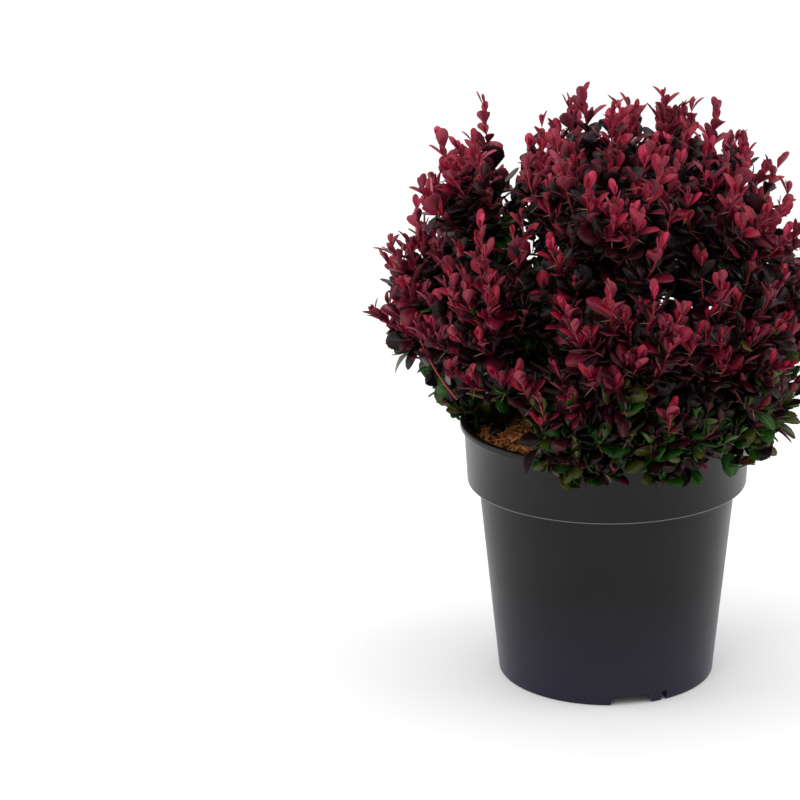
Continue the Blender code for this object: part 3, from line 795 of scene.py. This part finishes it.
def plastic():
    """Black moulded plastic: satin, faintly mottled, with a painted sheen that makes it lighter
    and bluer low down, and a painted highlight along the collar's foot.
    """
    material, nodes, links, shader = new_material("black_plastic", 0.19)
    place = nodes.new("ShaderNodeTexCoord")
    broad = add_noise(nodes, links, place, 26, 8)
    tone = add_mix(nodes, links, broad, (0.0045, 0.0036, 0.0040), (0.0115, 0.0092, 0.0105))
    height = nodes.new("ShaderNodeSeparateXYZ")
    links.new(place.outputs["Object"], height.inputs["Vector"])
    # Painted sheen: towards its foot the black turns lighter and bluer.
    low = nodes.new("ShaderNodeMapRange")
    low.inputs["From Min"].default_value = 0.075
    low.inputs["From Max"].default_value = 0.0
    low.inputs["To Max"].default_value = 0.8
    links.new(height.outputs["Z"], low.inputs["Value"])
    with_painted_sheen = add_mix(nodes, links, low.outputs["Result"], tone, (0.020, 0.018, 0.036))
    # Painted highlight: a thin light grey band along the step at the collar's foot.
    edge = nodes.new("ShaderNodeMath")
    edge.operation = "COMPARE"
    edge.inputs[1].default_value = POT_HEIGHT - COLLAR_HEIGHT + 0.0003
    edge.inputs[2].default_value = 0.0004
    links.new(height.outputs["Z"], edge.inputs[0])
    with_painted_highlight = add_mix(nodes, links, edge.outputs["Value"], with_painted_sheen, (0.16, 0.15, 0.15))
    links.new(with_painted_highlight, shader.inputs["Base Color"])
    add_roughness(nodes, links, shader, broad, 0.24, 0.42)
    fine = add_noise(nodes, links, place, 700, 2)
    add_relief(nodes, links, shader, fine, 0.12, 0.0002)
    return material


def make_pot():
    """The turned shell with its foot notches, which stands for the pot."""
    bm = bmesh.new()
    verts = [bm.verts.new((radius, 0, height)) for radius, height in pot_profile()]
    for first, second in zip(verts, verts[1:]):
        bm.edges.new((first, second))
    pot = from_bmesh("pot_shell", bm)
    screw = pot.modifiers.new("turn", "SCREW")
    screw.angle = math.tau
    screw.steps = POT_TURNS
    screw.render_steps = POT_TURNS
    screw.use_merge_vertices = True
    screw.merge_threshold = 0.00001
    cutter = notch_cutters()
    cut = pot.modifiers.new("notches", "BOOLEAN")
    cut.operation = "DIFFERENCE"
    cut.object = cutter
    apply_modifiers(pot)
    bpy.data.objects.remove(cutter, do_unlink=True)
    pot.data.materials.clear()
    pot.data.materials.append(plastic())
    pot.data.shade_smooth()
    pot.data.set_sharp_from_angle(angle=math.radians(SHARP_ANGLE))
    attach(pot, "root")
    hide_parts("pot")


def ground_height(radius):
    """The height of the compost's surface at a distance from the middle."""
    crest = (GROUND_FLAT_RADIUS + COLLAR_FOOT_RADIUS) / 2
    edge = COLLAR_TOP_RADIUS - WALL
    places = (0, GROUND_FLAT_RADIUS, crest, edge)
    heights = (GROUND, GROUND, GROUND + GROUND_CREST, GROUND_EDGE)
    return float(np.interp(radius, places, heights))


def make_mulch():
    """Shredded bark: slivers of three tints, heaped on the compost."""
    rng = random.Random(SEED)
    bundles = {name: Bundle() for name in MULCH_TINTS}
    for _ in range(SLIVERS):
        radius = (COLLAR_FOOT_RADIUS - 0.006) * math.sqrt(rng.random())
        if radius < KNOB_RADIUS + 0.003:
            continue
        turn = rng.uniform(0, math.tau)
        length = rng.uniform(*SLIVER_LENGTH) * rng.choice((0.7, 1.0, 1.0, 1.3))
        width = rng.uniform(*SLIVER_RADIUS)
        azimuth = math.degrees(rng.uniform(0, math.tau))
        heading = direction(azimuth, rng.uniform(*SLIVER_TILT))
        high = ground_height(radius) + rng.uniform(0.0, HEAP_DEPTH)
        middle = Vector((radius * math.cos(turn), radius * math.sin(turn), high))
        ends = [middle - heading * length / 2, middle + heading * length / 2]
        if max(math.hypot(end.x, end.y) for end in ends) > COLLAR_FOOT_RADIUS - WALL - 0.001:
            continue
        bow = heading.orthogonal().normalized() * rng.uniform(-0.08, 0.08) * length
        points = [ends[0], middle + bow, ends[1]]
        radii = [width * rng.uniform(0.4, 0.8), width, width * rng.uniform(0.2, 0.6)]
        name = rng.choice(("amber", "amber", "rust", "rust", "umber"))
        bundles[name].add(*tube_arrays(points, radii, 4))
    for name, bundle in bundles.items():
        material = finish(f"bark_{name}", MULCH_TINTS[name], 0.85, 1.0, 900, 0.08)
        piece = bundle.build(f"mulch_{name}", [material], smooth=False)
        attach(piece, "root")


def dress_compost():
    """Gives the kept compost node its dark soil."""
    soil = finish("compost", (0.035, 0.016, 0.009), 0.95, 1.0, 260, 0.04, (0.14, 0.055, 0.022))
    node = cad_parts["compost"]
    node.data.materials.clear()
    node.data.materials.append(soil)


def make_camera():
    """The camera at the photo's angle. Its turn is to the left and its dip below level."""
    roll = math.radians(CAMERA_ROLL)
    ahead = direction(90 + CAMERA_TURN, -CAMERA_DIP)
    right = ahead.cross(UP).normalized()
    upward = right.cross(ahead)
    tilted_right = right * math.cos(roll) + upward * math.sin(roll)
    tilted_up = upward * math.cos(roll) - right * math.sin(roll)
    camera = new_object("camera", bpy.data.cameras.new("camera"))
    rotation = Matrix((tilted_right, tilted_up, -ahead)).transposed().to_4x4()
    camera.matrix_world = Matrix.Translation(CAMERA_PLACE) @ rotation
    camera.data.lens = LENS
    camera.data.sensor_width = SENSOR
    camera.data.clip_end = CLIP_END
    bpy.context.scene.camera = camera


def soft_box(name, place, target, size, power):
    light = bpy.data.lights.new(name, "AREA")
    light.shape = "RECTANGLE"
    light.size, light.size_y = size
    light.energy = power
    obj = new_object(name, light)
    obj.location = place
    obj.rotation_euler = (Vector(target) - Vector(place)).to_track_quat("-Z", "Y").to_euler()


def make_studio():
    """A plain pale floor, a soft white world and four soft boxes."""
    bm = bmesh.new()
    bmesh.ops.create_circle(bm, cap_ends=True, segments=96, radius=FLOOR_RADIUS)
    floor = from_bmesh("floor", bm)
    floor.location.z = -FLOOR_DROP
    floor.data.materials.append(finish("floor_paint", (0.95, 0.95, 0.95), 0.9, 0.02, 40, 0.02))
    world = bpy.data.worlds.new("studio")
    world.use_nodes = True
    background = world.node_tree.nodes["Background"]
    background.inputs["Color"].default_value = (1, 1, 1, 1)
    background.inputs["Strength"].default_value = WORLD_STRENGTH
    bpy.context.scene.world = world
    for box in SOFT_BOXES:
        soft_box(*box)
    scene = bpy.context.scene
    scene.view_settings.view_transform = "Standard"
    scene.view_settings.look = "None"


make_camera()
make_studio()
make_pot()
dress_compost()
make_mulch()
crown = crown_masses()
grow_limbs(crown)
join_crown(grow_crown(crown), crown)
